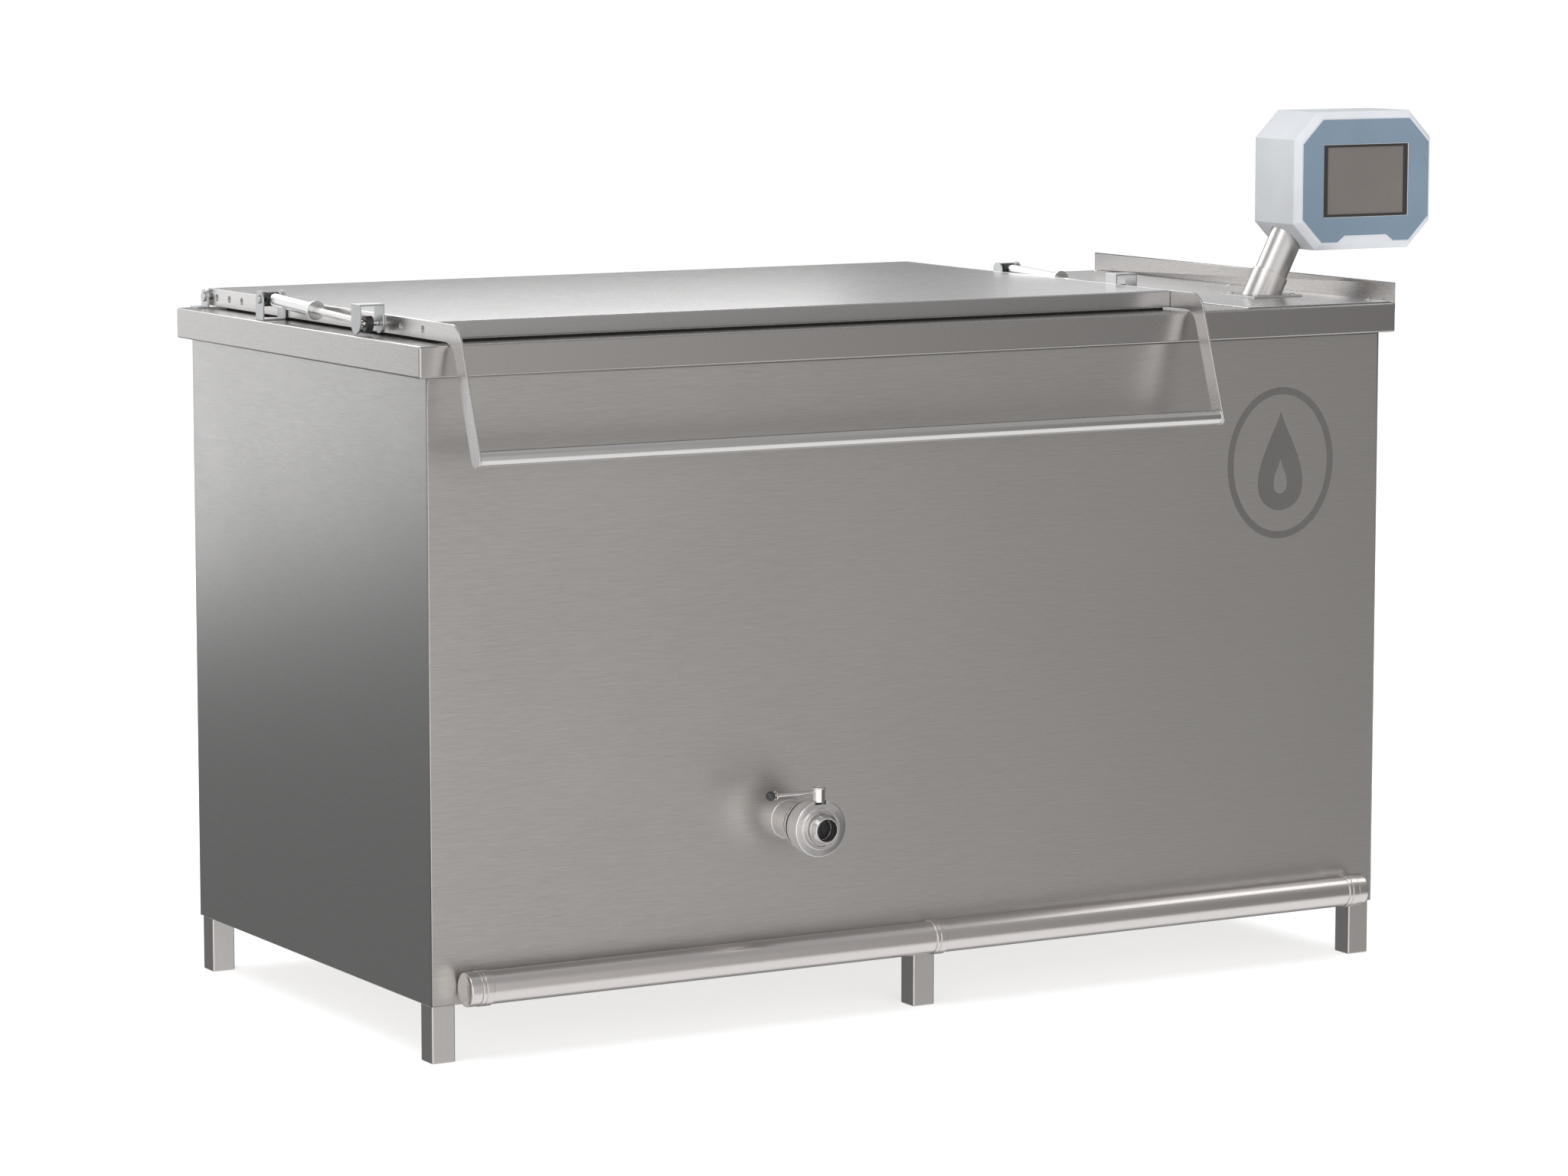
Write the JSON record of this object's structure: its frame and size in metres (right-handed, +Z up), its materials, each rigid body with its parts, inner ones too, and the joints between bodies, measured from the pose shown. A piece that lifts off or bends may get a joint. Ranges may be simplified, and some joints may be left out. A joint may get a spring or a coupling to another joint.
{
  "type": "bulk milk tank",
  "caption": "Insulated stainless milk cooling tank on legs, with a lift-up lid, front drain valve, foot pipe and a control box on a leaning post.",
  "frame": {"origin": "middle of the bounding box, on the floor", "axes": "+Z up, +X to the right seen from the front, +Y to the back"},
  "size_m": [2.028, 1.028, 1.441],
  "materials": {
    "casing_steel": "fine horizontal brushed grain",
    "lid_steel": "fine brushed grain, bright",
    "vat_steel": "smooth satin",
    "arm_steel": "satin flat bar with bright cut edges",
    "bracket_steel": "satin",
    "polished_steel": "polished stainless",
    "black_rubber": "matt",
    "black_plastic": "semi-gloss",
    "foam": "closed-cell foam",
    "box_paint": "satin light grey powder coat",
    "face_blue": "satin grey blue",
    "screen_black": "gloss black",
    "screen_glass": "dark glass, switched off",
    "board_green": "solder-resist green"
  },
  "bodies": {
    "root": {"front_panel": "casing_steel", "rear_panel": "casing_steel", "left_panel": "casing_steel", "right_panel": "casing_steel", "base_pan": "casing_steel", "base_frame": "casing_steel", "leg_front_left": "casing_steel", "leg_front_middle": "casing_steel", "leg_front_right": "casing_steel", "leg_rear_left": "casing_steel", "leg_rear_middle": "casing_steel", "leg_rear_right": "casing_steel", "bay_partition": "casing_steel", "inner_tank": "vat_steel", "cooling_jacket": "vat_steel", "insulation": "foam", "rim_frame": "casing_steel", "lid_seal": "black_rubber", "deck_cover": "casing_steel", "cover_screws": "polished_steel", "outlet_pipe": "polished_steel", "valve_gasket": "black_rubber", "valve_body": "polished_steel", "header_pipe_left": "polished_steel", "header_pipe_right": "polished_steel", "header_fittings": "polished_steel", "header_stubs": "polished_steel", "hinge_bracket_left": "bracket_steel", "hinge_bracket_right": "bracket_steel", "hinge_pins": "polished_steel", "damper_clevis_left": "bracket_steel", "damper_clevis_right": "bracket_steel", "clevis_pins": "polished_steel", "post_foot": "polished_steel", "post_tube": "polished_steel", "control_housing": "box_paint", "rear_cover": "box_paint", "face_plate": "face_blue", "screen_frame": "screen_black", "screen_glass": "screen_glass", "control_board": "board_green"},
    "lid": {"lid_panel": "lid_steel", "lid_insulation": "foam", "lid_liner": "vat_steel", "arm_left": "arm_steel", "arm_right": "arm_steel", "handle_tube": "polished_steel", "lid_bracket_left": "bracket_steel", "lid_bracket_right": "bracket_steel"},
    "damper_left": {"damper_eye_left": "black_plastic", "damper_tube_left": "bracket_steel"},
    "rod_left": {"damper_rod_left": "polished_steel", "rod_end_left": "black_plastic"},
    "damper_right": {"damper_eye_right": "black_plastic", "damper_tube_right": "bracket_steel"},
    "rod_right": {"damper_rod_right": "polished_steel", "rod_end_right": "black_plastic"},
    "valve": {"valve_disc": "black_rubber", "valve_lever": "polished_steel", "valve_knob": "black_plastic"}
  },
  "joints": [
    {"name": "lid_hinge", "type": "hinge", "parent": "root", "child": "lid", "pos_m": [-0.27851, 0.494, 1.14125], "axis": [-1, 0, 0], "range_deg": [0, 45]},
    {"name": "damper_left_pivot", "type": "hinge", "parent": "root", "child": "damper_left", "pos_m": [-0.98626, 0.194, 1.157], "axis": [-1, 0, 0], "range_deg": [0, 72.13]},
    {"name": "rod_left_slide", "type": "slide", "parent": "damper_left", "child": "rod_left", "axis": [0, -0.9991, -0.0435], "range_m": [0, 0.1204]},
    {"name": "damper_right_pivot", "type": "hinge", "parent": "root", "child": "damper_right", "pos_m": [0.42924, 0.194, 1.157], "axis": [-1, 0, 0], "range_deg": [0, 72.13]},
    {"name": "rod_right_slide", "type": "slide", "parent": "damper_right", "child": "rod_right", "axis": [0, -0.9991, -0.0435], "range_m": [0, 0.1204]},
    {"name": "valve_turn", "type": "hinge", "parent": "root", "child": "valve", "pos_m": [-0.35301, -0.486, 0.333], "axis": [0, 0, 1], "range_deg": [0, 90]}
  ],
  "couplings": [
    {"joint": "damper_left_pivot", "follows": "lid_hinge", "ratio": 1.6023},
    {"joint": "damper_right_pivot", "follows": "lid_hinge", "ratio": 1.6023},
    {"joint": "rod_left_slide", "follows": "lid_hinge", "m_per_rad": 0.15309},
    {"joint": "rod_right_slide", "follows": "lid_hinge", "m_per_rad": 0.15309}
  ]
}
